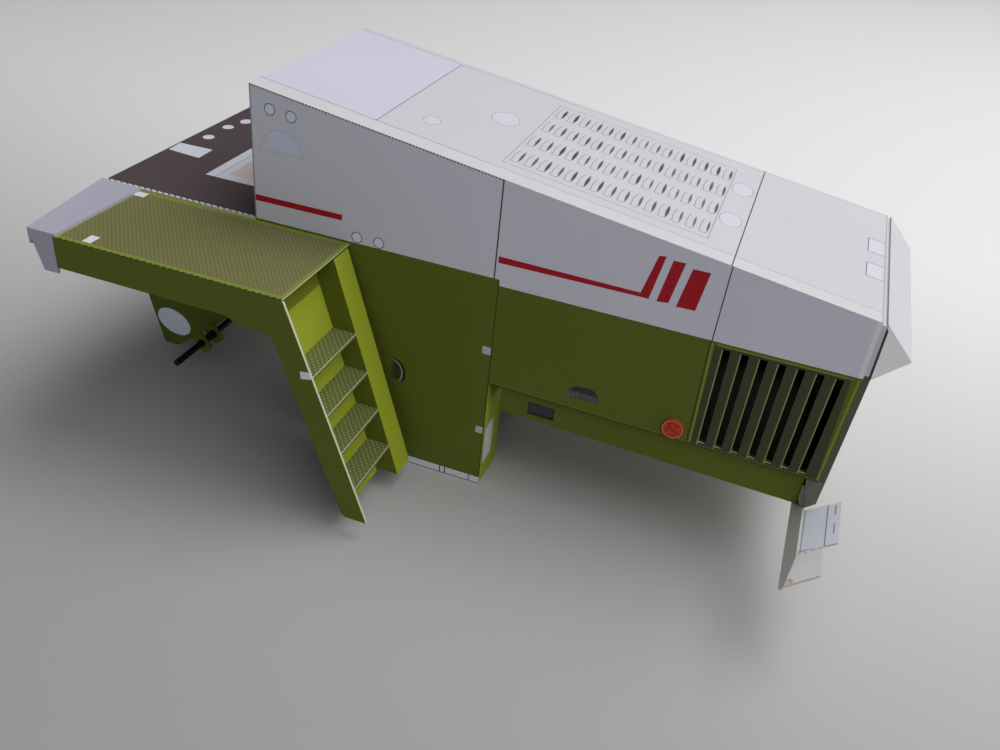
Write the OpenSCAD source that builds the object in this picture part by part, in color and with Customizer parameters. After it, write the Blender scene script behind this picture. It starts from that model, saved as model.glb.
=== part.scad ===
// Card model of a forage harvester's body, in millimetres.
// X runs forward, Y to the machine's left, Z up. The origin is on the floor,
// under the middle of the model's length and width.
// A profile's points are in side view (X, Z), seen from the machine's right.

/* [Card] */
// Thickness of the card sheets
card_t = 0.5; // [0.4:0.05:0.8]

/* [Hood] */
// Width across the hood
hood_w = 45; // [38:0.5:52]
// Length of the hood from its front wall to its rear edge
hood_l = 109.7; // [96:0.1:124]
// Height of the hood's front wall above the deck
hood_h_front = 25; // [20:0.5:32]
// Height of the hood's rear edge above the deck
hood_h_rear = 9.2; // [7:0.2:13]
// Length of the tall hood, from the front wall to the seam
tall_l = 47; // [44:0.5:52]
// Depth of the rear hood's side below the deck's top
hood_lap = 1.2; // [0.8:0.1:1.6]

/* [Rear end] */
// Reach of the apron behind the hood
apron_reach = 5.9; // [3:0.1:8]
// Thickness of the wall between the hood and the apron
apron_wall = 0.7; // [0.4:0.1:1.2]
// Drop of that wall's top below the roof's edge
apron_wall_drop = 0.4; // [0.2:0.1:0.5]
// Width of the open seam between that wall and the apron's side
apron_seam = 0.4; // [0.2:0.1:0.8]
// Height of the apron's tip above the deck
apron_tip_h = 3.8; // [2:0.2:6]
// Distance from the side panels' rear edges back to the rear panel
rear_panel_back = 1.15; // [0.8:0.05:1.4]
// Reach of the rear panel's glued flanges in front of the hood's rear edge
rear_panel_flange = 1.9; // [1:0.1:2]
// Gap between those flanges and the chassis tray
rear_panel_gap = 0.3; // [0.1:0.1:0.5]
// Depth of the flanges' lower corner below the side panels' foot
rear_panel_corner = 1; // [0.5:0.1:2]
// Height of the rear panel's fold above the lamp bar
rear_panel_fold_h = 1.5; // [1:0.1:2]

/* [Engine side] */
// Height of the engine side panel at its rear edge, below the base sheet
side_h = 22.5; // [20:0.1:26]
// Height of the engine side panel at its front edge, below the base sheet
side_h_front = 21.4; // [20:0.1:26]
// Forward lean of the panel's rear edge, from its top to its foot
side_lean = 1; // [0:0.1:1.4]
// Number of slots in the grille
slot_count = 7; // [5:1:9]
// Distance between the slots at their feet
slot_pitch = 2.935; // [2.2:0.005:3]
// Distance between the slots at their tops
slot_pitch_top = 3.06; // [2.2:0.01:3.2]
// Width of a slot
slot_w = 1.25; // [0.8:0.05:1.5]
// Distance from the base sheet down to the slots' tops
slot_top = 1.8; // [1.2:0.1:4]
// Distance from the panel's foot up to the slots' feet
slot_up = 0.9; // [0.9:0.1:4]
// Distance from the hood's rear edge to the last slot's middle at its foot
slot_rear = 4; // [3:0.1:4.6]
// Distance from the hood's rear edge to the last slot's middle at its top
slot_rear_top = 3.1; // [2:0.1:4.6]
// Diameter of the round side marker
marker_d = 4; // [3:0.2:5]
// Distance from the hood's front wall to the marker's middle
marker_x = 82.7; // [81.6:0.1:83]
// Height of the marker's middle above the panel's foot
marker_up = 2.3; // [2.1:0.1:6]

/* [Chassis tray] */
// Height of the strip below the engine side at its rear end
strip_h = 6.5; // [4.6:0.1:7.5]
// Height of the strip below the engine side at its front end
strip_h_front = 5.8; // [4.6:0.1:7.5]
// Inset of the strip behind the panel
strip_inset = 1; // [0.5:0.1:2]
// Distance from the tall hood's seam to the tray's front end
tray_front_gap = 3.3; // [1:0.1:6]
// Distance from the rear edge to the tray's rear end
tray_rear_gap = 3.2; // [2:0.1:3.6]
// Length of the window in the strip
window_l = 5.2; // [3:0.2:8]
// Height of the window in the strip
window_h = 2.8; // [1.6:0.1:3]
// Distance from the tray's front end to the window
window_x = 5.5; // [3:0.1:9]
// Height of the window above the strip's foot
window_up = 1.2; // [0.8:0.1:1.5]
// Height of the tray's glued flange above the panel's foot
flange_up = 0.3; // [0.1:0.1:0.4]

/* [Side boxes] */
// Height of the deck's top above the floor
deck_z = 46.2; // [44.5:0.2:52]
// Width of a side box
box_w = 9.6; // [7:0.2:12]
// Reach of the side box behind the seam
box_back = 1.1; // [0.2:0.1:1.6]
// Reach of the side box in front of the deck's rear edge
box_lap = 0.2; // [0.1:0.1:0.6]

/* [Cab floor] */
// Length of the cab floor in front of the hood
floor_l = 32.9; // [28:0.5:38]
// Overall width of the model
overall_w = 91.8; // [84:0.5:100]

/* [Left deck] */
// Length of the deck in front of the hood's front wall
deck_front = 25.4; // [22:0.2:27]
// Length of the deck behind the hood's front wall
deck_back = 19.2; // [16.8:0.2:20.5]
// Step down from the cab floor to the deck
deck_drop = 0.4; // [0.2:0.05:0.8]
// Depth of the outer panel below the deck
skirt_h = 6; // [4.5:0.1:7]
// Depth of the deeper stretch at the wheel arch
arch_h = 7.3; // [7.1:0.1:8.5]
// Distance from the front wall to the start of the deeper stretch
arch_x = 8.5; // [6:0.2:11]
// Length of the slope between the two depths
arch_slope = 2; // [1:0.2:3]
// Chamfer between the deeper stretch and the ladder's front edge
arch_chamfer = 1; // [0.5:0.1:2]

/* [Ladder] */
// Height of the ladder, from the deck down to the outer stringer's foot
ladder_h = 42.3; // [39:0.1:42.6]
// Run of the ladder's rear edge to the rear, from the deck to the foot
stringer_run = 15.7; // [12:0.1:18]
// Width of the outer stringer, front to back
stringer_w = 5.1; // [4.9:0.1:5.8]
// Distance between the hood's side and the inner stringer's top
stringer_gap = 0.9; // [0.5:0.1:2.5]
// Width of the inner stringer, from side to side
inner_stringer_w = 5.3; // [4:0.1:7]
// Outward lean of the inner stringer
inner_lean = 4.3; // [0:0.1:6]
// Chamfer at the front of each stringer's foot
foot_chamfer = 0.8; // [0.4:0.1:1.4]
// Height of the inner stringer's foot above the outer stringer's foot
inner_foot_up = 0.9; // [0:0.1:2]
// Depth of a tread
tread_d = 4.6; // [3.8:0.1:4.8]
// Depth of the first tread below the deck
tread_drop = 13.7; // [10:0.1:14]
// Distance between treads
tread_rise = 7.2; // [6.5:0.1:7.8]
// Height of the back sheet's foot above the outer stringer's foot
back_sheet_up = 0.2; // [0:0.1:1.5]

/* [Front tab] */
// Length of the tab's overlap on the deck
tab_overlap = 0.6; // [0.4:0.1:2]
// Length of the tab at its outer end
tab_outer = 5.8; // [4.4:0.2:6.4]
// Length of the tab at its inner end
tab_inner = 8.9; // [7:0.1:9.4]
// Depth of the tab's outer flap
tab_flap_h = 7.7; // [5:0.1:9]
// Slant of the outer flap's front edge
tab_flap_slant = 2.3; // [1:0.1:3]
// Depth of the tab's front flap
tab_front_h = 3; // [2:0.2:5]

/* [Front housing] */
// Depth of the housing below the deck
housing_h = 42.2; // [38:0.2:43]
// Lean of each cheek
cheek_lean = 14.5; // [8:0.5:18]
// Length of the housing's foot
housing_foot_l = 3.7; // [2:0.1:8]
// Slope of the housing's underside
housing_slope = 40.4; // [38:0.2:44]

/* [Axle] */
// Diameter of the axle rod
axle_d = 1.3; // [1:0.1:2]
// Length of the axle rod
axle_l = 61.2; // [54:0.2:70]
// Distance from the hood's front wall to the axle
axle_x = 14.8; // [12:0.2:17]
// Gap between the rod and the housing's underside
axle_clear = 0.3; // [0.2:0.1:1.6]
// Radial clearance of the rod in its ears
axle_gap = 0.05; // [0.03:0.01:0.1]
// Distance between the ears
ear_span = 18; // [12:0.5:20]
// Wall of an ear round the rod
ear_wall = 1.2; // [0.8:0.1:1.6]
// Thickness of an ear
ear_t = 1; // [0.6:0.1:1.5]
// Diameter of a hub disc
disc_d = 4.4; // [3.4:0.1:5]
// Width of a hub disc between its two straight edges
disc_w = 2.8; // [2.6:0.1:3.4]
// Thickness of a hub disc
disc_t = 0.5; // [0.4:0.1:1]
// Diameter of the collar that the two discs sit on
collar_d = 1.7; // [1.5:0.1:2]
// Reach of the collar beyond the discs
collar_reach = 0.3; // [0.1:0.1:0.8]
// Distance between the middles of the two discs
disc_span = 4.1; // [3:0.1:6]
// Distance from the model's middle to the inner disc's middle
disc_y = 17.7; // [16:0.1:21]

/* [Lamp bar] */
// Length of the lamp bar from tip to tip
bar_l = 87.6; // [80:0.2:94]
// Width of the lamp bar, front to back
bar_w = 2.2; // [1.6:0.1:3]
// Width of the bar at its tips
bar_tip_w = 0.6; // [0.4:0.1:1.4]
// Length of the bar's tapered ends
bar_taper = 10; // [8:0.2:12]
// Distance from the hood's rear edge forward to the bar's front edge
bar_x = 3.9; // [3.7:0.1:4.6]
// Distance from the model's middle to the inner flap
flap_y = 22.8; // [22.6:0.1:28]
// Run of the inner flap to the rear
flap_run = 5.2; // [3:0.1:7]
// Slope of the inner flap
flap_a = 40; // [30:1:50]
// Slope of the outer flap
tip_flap_a = 46; // [35:1:55]
// Run of the outer flap to the rear, at its inner end
tip_flap_run = 3.2; // [2:0.1:4]
// Run of the outer flap to the rear, near the bar's tip
tip_flap_run_end = 4.4; // [2:0.1:5]
// Length of the outer flap along its fold
tip_flap_l = 8.8; // [6:0.1:9]
// Distance from the bar's corner to the start of the outer flap's fold
tip_flap_start = 0.6; // [0.4:0.1:1]
// Slant of the outer flap's edge near the bar's tip
tip_flap_skew = 0.7; // [0.2:0.1:2]

/* [Hidden] */

$fn = 48;
big = 200;
// How far a cut runs past the face that it opens
over = 1;
// Radial gap round a glued disc
glue_gap = 0.02;

// Colours of the card sheets
white = [0.86, 0.86, 0.89];
green = [0.42, 0.50, 0.12];
tread_green = [0.48, 0.54, 0.34];
brown = [0.25, 0.21, 0.20];
black = [0.06, 0.06, 0.06];
orange = [0.86, 0.28, 0.10];

// Stations along X. The model's length is centred on the origin
x_front = (hood_l + apron_reach - floor_l - tab_extra()) / 2;
x_seam = x_front - tall_l;
x_rear = x_front - hood_l;
x_floor = x_front + floor_l;
x_deck_front = x_front + deck_front;
x_deck_back = x_front - deck_back;
x_box_back = x_seam - box_back;
x_box_front = x_deck_back + box_lap;
x_tray_front = x_seam - tray_front_gap;
x_tray_back = x_rear + tray_rear_gap;
x_bar_front = x_rear + bar_x;
x_bar_rear = x_bar_front - bar_w;
x_marker = x_front - marker_x;
x_axle = x_front + axle_x;
x_housing_front = x_floor - card_t;
x_housing_foot = x_housing_front - housing_foot_l;

// Half widths
side_y = hood_w / 2;
outer_y = overall_w / 2;
bar_tip_y = bar_l / 2;
bar_fold_y = bar_tip_y - bar_taper;

// Levels
z_sheet = deck_z - card_t;
z_lap = deck_z - hood_lap;
z_deck = deck_z - deck_drop;
z_under_deck = z_deck - card_t;
z_ladder_foot = z_deck - ladder_h;
z_housing_foot = z_sheet - housing_h;
z_axle = underside_z(x_axle) - (axle_d / 2 + axle_clear) / cos(housing_slope);

roof_slope = atan((hood_h_front - hood_h_rear) / hood_l);
ladder_slope = stringer_run / ladder_h;
side_rise = (side_h - side_h_front) / (x_box_back - x_rear);
strip_rise = (tray_foot_z(x_tray_front) - tray_foot_z(x_tray_back)) / (x_tray_front - x_tray_back);
bar_taper_a = atan((bar_w - bar_tip_w) / bar_taper);

// Span across the ladder: the inner stringer's two faces under the deck, and the outer stringer's face
y_stringer = side_y + stringer_gap;
y_tread_low = y_stringer + inner_stringer_w;
y_tread_high = outer_y - card_t;

// How far the front tab reaches in front of the cab floor
function tab_extra() = max(0, deck_front - tab_overlap + tab_inner - floor_l);

// Height of the hood's sloping roof at the station x
function roof_z(x) = deck_z + hood_h_front - (x_front - x) * tan(roof_slope);

// Height of the engine side panel's foot at the station x
function side_foot_z(x) = z_sheet - side_h + (x - x_rear) * side_rise;

// X of the engine side panel's rear edge at the height z
function side_edge_x(z) = x_rear + (z_lap - z) * side_lean / (z_lap - side_foot_z(x_rear + side_lean));

// Share of the way from the tray's rear end to its front end at the station x
function tray_share(x) = (x - x_tray_back) / (x_tray_front - x_tray_back);

// Height of the tray's foot at the station x
function tray_foot_z(x) = side_foot_z(x) - strip_h + tray_share(x) * (strip_h - strip_h_front);

// Height of a tread's upper face
function tread_z(n) = z_deck - tread_drop - (n - 1) * tread_rise;

// Height of the housing's slanting underside at the station x
function underside_z(x) = z_housing_foot + (x_housing_foot - x) * tan(housing_slope);

// X of the ladder's rear edge at the height z
function ladder_x(z) = x_deck_back - (z_deck - z) * ladder_slope;

// Repeats its children on both sides
module both_sides() {
    children();
    mirror([0, 1, 0]) children();
}

// A profile in side view as a plate whose outer face is at y
module upright(y, thickness) {
    translate([0, y, 0]) rotate([90, 0, 0]) linear_extrude(thickness) children();
}

// A profile in plan view as a sheet whose top is at z
module sheet(z, thickness = card_t) {
    translate([0, 0, z - thickness]) linear_extrude(thickness) children();
}

// A block between two stations along X, symmetric about the middle
module block(x_low, x_high, half_w, z_low, z_high) {
    translate([x_low, -half_w, z_low]) cube([x_high - x_low, 2 * half_w, z_high - z_low]);
}

// A profile in side view as a block across the model, symmetric about the middle
module across(half_w) {
    upright(half_w, 2 * half_w) children();
}

// The hood's form under its sloping roof, made smaller by inset at the sides and the roof
module hood_form(x_low, x_high, z_low, inset) {
    drop = inset / cos(roof_slope);
    across(side_y - inset) polygon([
        [x_low, z_low], [x_high, z_low],
        [x_high, roof_z(x_high) - drop], [x_low, roof_z(x_low) - drop]
    ]);
}

module tall_hood() {
    color(white) difference() {
        hood_form(x_seam, x_front, deck_z, 0);
        hood_form(x_seam - over, x_front - card_t, deck_z - over, card_t);
    }
}

// Lower hood, whose sides and rear wall reach a little below the deck's top
module rear_hood() {
    color(white) difference() {
        union() {
            hood_form(x_rear, x_seam, deck_z, 0);
            hood_form(x_rear, x_box_back, z_lap, 0);
        }
        hood_form(x_rear + card_t, x_seam + over, z_lap - over, card_t);
    }
}

// Wall behind the hood, and the slanting sheet with its side gussets, open below
module rear_apron() {
    x_wall = x_rear - apron_wall;
    top = [x_wall, roof_z(x_rear)];
    tip = [x_rear - apron_reach, deck_z + apron_tip_h];
    x_gusset = x_wall - apron_seam;
    foot = [x_gusset, z_sheet - card_t];
    slant = (top.y - tip.y) / (top.x - tip.x);
    drop = card_t / cos(atan(slant));
    color(white) {
        block(x_wall, x_rear, side_y, z_sheet, top.y - apron_wall_drop);
        difference() {
            across(side_y) polygon([
                top, tip, foot, [x_gusset, top.y - drop - apron_seam * slant], top - [0, drop]
            ]);
            across(side_y - card_t) polygon([
                top - [-over, drop - over * slant], tip - [over, drop + over * slant],
                [tip.x - over, foot.y - over], [x_wall + over, foot.y - over]
            ]);
        }
    }
}

// Sheet that the hoods stand on, narrower where the rear hood's sides lap over it
module base_sheet() {
    lap_y = side_y - card_t;
    color(green) sheet(deck_z) polygon([
        [x_rear + card_t, -lap_y], [x_box_back, -lap_y], [x_box_back, -side_y], [x_front, -side_y],
        [x_front, side_y], [x_box_back, side_y], [x_box_back, lap_y], [x_rear + card_t, lap_y]
    ]);
}

// Side panel of the engine bay with its row of grille slots, which fan out a little to their tops
module engine_side() {
    x_foot = x_rear + side_lean;
    color(green) upright(side_y, card_t) difference() {
        polygon([
            [x_foot, side_foot_z(x_foot)], [x_box_back, side_foot_z(x_box_back)],
            [x_box_back, z_lap], [x_rear, z_lap]
        ]);
        for (i = [0 : slot_count - 1]) {
            low = [x_rear + slot_rear + i * slot_pitch, 0];
            high = [x_rear + slot_rear_top + i * slot_pitch_top, z_sheet - slot_top];
            foot = [low.x, side_foot_z(low.x) + slot_up];
            half = [slot_w / 2, 0];
            polygon([foot - half, foot + half, high + half, high - half]);
        }
    }
}

// Panel that closes the engine bay behind. It leans with the side panels' rear edges, its foot is
// folded forward to the lamp bar, and its flanges lie inside the side panels
module rear_panel() {
    half = side_y - card_t;
    tip = [x_bar_rear, tray_foot_z(x_bar_rear)];
    z_fold = tip.y + rear_panel_fold_h;
    fold = [side_edge_x(z_fold) - rear_panel_back, z_fold];
    top = [side_edge_x(z_sheet) - rear_panel_back, z_sheet];
    foot_a = atan((fold.y - tip.y) / (tip.x - fold.x));
    drop = card_t / cos(foot_a) - over * tan(foot_a);
    color(white) difference() {
        across(half) polygon([
            top, fold, tip,
            [x_tray_back - rear_panel_gap, side_foot_z(x_tray_back) - rear_panel_corner],
            [x_rear + rear_panel_flange, z_lap], [x_rear, z_lap], [x_rear, z_sheet]
        ]);
        across(half - card_t) polygon([
            top + [card_t, -card_t], fold + card_t * [1, (1 - sin(foot_a)) / cos(foot_a)],
            tip + [over, drop], [x_tray_back + over, tip.y + drop], [x_tray_back + over, z_sheet - card_t]
        ]);
    }
}

// Profile between two lines over the tray's length, each given by its two heights
module tray_profile(inset, low_back, low_front, high_back, high_front) {
    polygon([
        [x_tray_back + inset, low_back], [x_tray_front - inset, low_front],
        [x_tray_front - inset, high_front], [x_tray_back + inset, high_back]
    ]);
}

// Floor and front wall of the engine bay, with the recessed strip on each side
module chassis_tray() {
    half = side_y - strip_inset;
    low_back = tray_foot_z(x_tray_back);
    low_front = tray_foot_z(x_tray_front);
    flange_back = side_foot_z(x_tray_back) + flange_up;
    flange_front = side_foot_z(x_tray_front) + flange_up;
    x_window = x_tray_front - window_x - window_l;
    color(green) difference() {
        union() {
            across(half) tray_profile(0, low_back, low_front, flange_back, flange_front);
            across(side_y - card_t)
                tray_profile(0, flange_back, flange_front, flange_back + card_t, flange_front + card_t);
            block(x_tray_front - card_t, x_tray_front, half, flange_front, z_sheet);
        }
        across(half - card_t)
            tray_profile(card_t, low_back + card_t, low_front + card_t, z_sheet, z_sheet);
        upright(half + over, 2 * over) translate([x_window, tray_foot_z(x_window) + window_up])
            square([window_l, window_h]);
    }
}

module door_box() {
    color(green) difference() {
        translate([x_box_back, side_y - box_w, 0])
            cube([x_box_front - x_box_back, box_w, z_sheet]);
        translate([x_box_back + card_t, side_y - box_w + card_t, card_t])
            cube([x_box_front - x_box_back - 2 * card_t, box_w - 2 * card_t, z_sheet]);
    }
}

module cab_floor() {
    color(brown) sheet(deck_z) polygon([
        [x_front, side_y], [x_floor, side_y], [x_floor, -outer_y],
        [x_deck_back, -outer_y], [x_deck_back, -side_y], [x_front, -side_y]
    ]);
}

module left_deck() {
    color(tread_green) sheet(z_deck) polygon([
        [x_deck_back, side_y], [x_deck_front, side_y],
        [x_deck_front, outer_y], [x_deck_back, outer_y]
    ]);
}

// Wall across the front of a deck, from the hood's side to the outer panel
module front_return(x, z_top) {
    translate([x - card_t, side_y, z_deck - skirt_h])
        cube([card_t, outer_y - side_y, z_top - z_deck + skirt_h]);
}

// Outer panel with the wheel arch, and the ladder's outer stringer in one with it
module left_skirt() {
    foot_x = ladder_x(z_ladder_foot);
    z_arch = z_deck - arch_h;
    z_corner = z_arch - arch_chamfer;
    color(green) {
        front_return(x_deck_front, z_under_deck);
        upright(outer_y, card_t) polygon([
            [x_deck_front, z_under_deck], [x_deck_front, z_deck - skirt_h],
            [x_front - arch_x, z_deck - skirt_h], [x_front - arch_x - arch_slope, z_arch],
            [ladder_x(z_arch) + stringer_w + arch_chamfer, z_arch],
            [ladder_x(z_corner) + stringer_w, z_corner],
            [foot_x + stringer_w, z_ladder_foot + foot_chamfer],
            [foot_x + stringer_w - foot_chamfer, z_ladder_foot],
            [foot_x, z_ladder_foot], [ladder_x(z_under_deck), z_under_deck]
        ]);
    }
}

module right_skirt() {
    color(green) mirror([0, 1, 0]) {
        front_return(x_floor, z_sheet);
        upright(outer_y, card_t) polygon([
            [x_floor, z_sheet], [x_floor, z_deck - skirt_h],
            [x_front - arch_x, z_deck - skirt_h], [x_front - arch_x - arch_slope, z_deck - arch_h],
            [x_deck_back, z_deck - arch_h], [x_deck_back, z_sheet]
        ]);
    }
}

// Unprinted tab that lies on the deck's front edge, with its flaps folded down
module front_tab() {
    back = x_deck_front - tab_overlap;
    inner = [back + tab_inner, side_y];
    outer = [back + tab_outer, outer_y];
    z_top = z_deck + card_t;
    color(white) {
        sheet(z_top) polygon([[back, side_y], inner, outer, [back, outer_y]]);
        translate([0, 0, z_top - tab_front_h]) linear_extrude(tab_front_h)
            polygon([inner, outer, outer - [card_t, 0], inner - [card_t, 0]]);
        upright(outer_y, card_t) polygon([
            [x_deck_front, z_top], [outer.x, z_top],
            [outer.x - tab_flap_slant, z_top - tab_flap_h], [x_deck_front, z_top - tab_flap_h]
        ]);
    }
}

// Space along the ladder between two Y stations under the deck. Its low side leans outwards
// with the inner stringer, and its high side by high_lean
module ladder_slab(y_low, y_high, high_lean) {
    translate([ladder_x(0), 0, 0]) rotate([90, 0, 90]) linear_extrude(big) polygon([
        [y_low, z_under_deck], [y_high, z_under_deck],
        [y_high + z_under_deck * tan(high_lean), 0], [y_low + z_under_deck * tan(inner_lean), 0]
    ]);
}

// Inner stringer of the ladder, a leaning channel open to the front
module inner_stringer() {
    z_foot = z_ladder_foot + inner_foot_up;
    top_x = ladder_x(z_under_deck);
    foot_x = ladder_x(z_foot);
    color(green) intersection() {
        ladder_slab(y_stringer, y_tread_low, inner_lean);
        difference() {
            across(outer_y) polygon([
                [top_x, z_under_deck], [top_x + stringer_w, z_under_deck],
                [foot_x + stringer_w, z_foot + foot_chamfer],
                [foot_x + stringer_w - foot_chamfer, z_foot], [foot_x, z_foot]
            ]);
            intersection() {
                ladder_slab(y_stringer + card_t, y_tread_low - card_t, inner_lean);
                across(outer_y) polygon([
                    [ladder_x(deck_z) + card_t, deck_z], [x_front, deck_z],
                    [x_front, 0], [ladder_x(0) + card_t, 0]
                ]);
            }
        }
    }
}

// Slanting sheet that closes the ladder at the front of the treads
module ladder_back() {
    low = z_ladder_foot + back_sheet_up;
    color(green) intersection() {
        ladder_slab(y_tread_low, y_tread_high, 0);
        across(outer_y) polygon([
            [ladder_x(z_under_deck) + tread_d, z_under_deck],
            [ladder_x(z_under_deck) + tread_d + card_t, z_under_deck],
            [ladder_x(low) + tread_d + card_t, low], [ladder_x(low) + tread_d, low]
        ]);
    }
}

module tread(n) {
    z = tread_z(n);
    color(tread_green) intersection() {
        ladder_slab(y_tread_low, y_tread_high, 0);
        across(outer_y) polygon([
            [ladder_x(z), z], [ladder_x(z) + tread_d, z],
            [ladder_x(z - card_t) + tread_d, z - card_t], [ladder_x(z - card_t), z - card_t]
        ]);
    }
}

// Tapered housing under the cab floor, its cheeks leaning inwards to the foot
module housing_form(inset) {
    z_low = z_housing_foot + inset;
    z_top = z_sheet + inset;
    front = x_housing_front - inset;
    back = x_box_front + inset;
    half_top = side_y - inset;
    half_low = half_top - (z_top - z_low) * tan(cheek_lean);
    intersection() {
        upright(side_y, hood_w) polygon([
            [front, z_top], [front, z_low], [x_housing_foot, z_low],
            [back, underside_z(back) + inset / cos(housing_slope)], [back, z_top]
        ]);
        translate([x_box_front, 0, 0]) rotate([90, 0, 90])
            linear_extrude(x_housing_front - x_box_front) polygon([
                [-half_top, z_top], [half_top, z_top], [half_low, z_low], [-half_low, z_low]
            ]);
    }
}

module front_housing() {
    color(green) difference() {
        housing_form(0);
        housing_form(card_t);
    }
}

// Ear below the housing's slanting underside, with the rod's hole
module axle_ear() {
    reach = axle_d / 2 + ear_wall;
    color(green) upright(ear_span / 2, ear_t) difference() {
        intersection() {
            union() {
                translate([x_axle, z_axle]) circle(reach);
                translate([x_axle - reach, z_axle]) square([2 * reach, 3 * reach]);
            }
            polygon([
                [x_axle - reach, underside_z(x_axle - reach)], [x_axle + reach, underside_z(x_axle + reach)],
                [x_axle + reach, z_axle - reach], [x_axle - reach, z_axle - reach]
            ]);
        }
        translate([x_axle, z_axle]) circle(axle_d / 2 + axle_gap);
    }
}

// Rod with a thin collar near each end
module axle_rod() {
    collar_l = disc_span + disc_t + 2 * collar_reach;
    color(black) translate([x_axle, 0, z_axle]) rotate([90, 0, 0]) {
        cylinder(d = axle_d, h = axle_l, center = true);
        for (side = [-1, 1])
            translate([0, 0, side * (disc_y + disc_span / 2)])
                cylinder(d = collar_d, h = collar_l, center = true);
    }
}

// Two discs on the collar, each cut to a strip that is longest square to the housing's underside
module hub() {
    color(green) for (y = [disc_y, disc_y + disc_span])
        translate([x_axle, y, z_axle]) rotate([90, 0, 0]) rotate(90 - housing_slope)
            linear_extrude(disc_t, center = true) difference() {
                intersection() {
                    circle(d = disc_d);
                    square([disc_d, disc_w], center = true);
                }
                circle(d = collar_d + 2 * glue_gap);
            }
}

// Sheet that rises to the rear from the line X = 0, with its outline in plan view
module flap(slope, outline) {
    rise = big * tan(slope);
    intersection() {
        translate([0, 0, -card_t]) linear_extrude(big) polygon(outline);
        across(big) polygon([[0, -card_t], [0, 0], [-big, rise], [-big, rise - card_t]]);
    }
}

// Bar under the tray's rear end, with two raised flaps at each side
module lamp_bar() {
    front = x_bar_front - x_tray_back;
    rear = x_bar_rear - x_tray_back;
    color(white) translate([x_tray_back, 0, tray_foot_z(x_tray_back)]) rotate([0, -atan(strip_rise), 0]) {
        sheet(0) polygon([
            [front, -bar_tip_y], [front, bar_tip_y], [front - bar_tip_w, bar_tip_y], [rear, bar_fold_y],
            [rear, -bar_fold_y], [front - bar_tip_w, -bar_tip_y]
        ]);
        both_sides() {
            translate([rear, 0, 0]) flap(flap_a, [
                [0, flap_y], [0, bar_fold_y], [-flap_run, bar_fold_y], [-flap_run, flap_y]
            ]);
            translate([rear, bar_fold_y, 0]) rotate(-bar_taper_a) flap(tip_flap_a, [
                [0, tip_flap_start], [0, tip_flap_start + tip_flap_l],
                [-tip_flap_run_end, tip_flap_start + tip_flap_l - tip_flap_skew],
                [-tip_flap_run, 0]
            ]);
        }
    }
}

module marker() {
    color(orange) translate([x_marker, side_y, side_foot_z(x_marker) + marker_up]) rotate([-90, 0, 0])
        cylinder(d = marker_d, h = card_t);
}

tall_hood();
rear_hood();
rear_apron();
base_sheet();
engine_side();  // engine_side_left
mirror([0, 1, 0]) engine_side();  // engine_side_right
rear_panel();
chassis_tray();
door_box();  // door_box_left
mirror([0, 1, 0]) door_box();  // door_box_right
cab_floor();
left_deck();
left_skirt();
right_skirt();
front_tab();
inner_stringer();
ladder_back();
tread(1);  // tread_1
tread(2);  // tread_2
tread(3);  // tread_3
tread(4);  // tread_4
front_housing();
axle_ear();  // axle_ear_left
mirror([0, 1, 0]) axle_ear();  // axle_ear_right
axle_rod();
hub();  // hub_left
mirror([0, 1, 0]) hub();  // hub_right
lamp_bar();
marker();  // marker_left
mirror([0, 1, 0]) marker();  // marker_right
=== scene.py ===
import math

import bpy
from mathutils import Matrix, Vector


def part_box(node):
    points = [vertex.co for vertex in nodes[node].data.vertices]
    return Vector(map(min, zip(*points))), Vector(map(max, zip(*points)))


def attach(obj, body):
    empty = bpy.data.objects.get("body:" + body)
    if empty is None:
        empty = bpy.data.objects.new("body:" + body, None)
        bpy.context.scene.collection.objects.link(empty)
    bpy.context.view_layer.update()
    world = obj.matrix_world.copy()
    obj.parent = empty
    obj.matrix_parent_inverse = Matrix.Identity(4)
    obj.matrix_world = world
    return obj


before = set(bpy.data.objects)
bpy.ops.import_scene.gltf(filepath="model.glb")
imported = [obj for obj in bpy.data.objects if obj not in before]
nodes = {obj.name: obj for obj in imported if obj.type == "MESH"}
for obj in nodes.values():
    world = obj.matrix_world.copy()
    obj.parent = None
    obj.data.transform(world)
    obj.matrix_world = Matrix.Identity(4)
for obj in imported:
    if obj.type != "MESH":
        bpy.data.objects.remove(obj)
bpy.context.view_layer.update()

# Lengths below are millimetres from the hood's front wall (x), the model's middle (y) and the deck's top (z)
MM = 0.001
ORIGIN = Vector((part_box("tall_hood")[1].x, 0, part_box("cab_floor")[1].z))
HOOD_L = 109.7
HOOD_H = 25        # at the front
HOOD_DROP = 15.8   # of the roof, from front to rear
SIDE_Y = 22.5      # of the hood's and the engine's sides
OUTER_Y = 45.9     # of the skirts

# Printed dashes: the share of each that is ink, and the usual length of one with its gap
DASH_SHARE = 0.55
DASH = 0.62

# Matt card: how strongly it mirrors and how deep its tooth is
SPECULAR = 0.22
TOOTH = 0.03

# Grain of the printed sheets, of the bare white ones and of those in the shade
PRINTED = {"fibre": 0.10, "cloud": 0.06, "speck": 0.05}
PLAIN = {"fibre": 0.05, "cloud": 0.03}
SHADED = {"fibre": 0.12, "cloud": 0.08}

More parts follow.
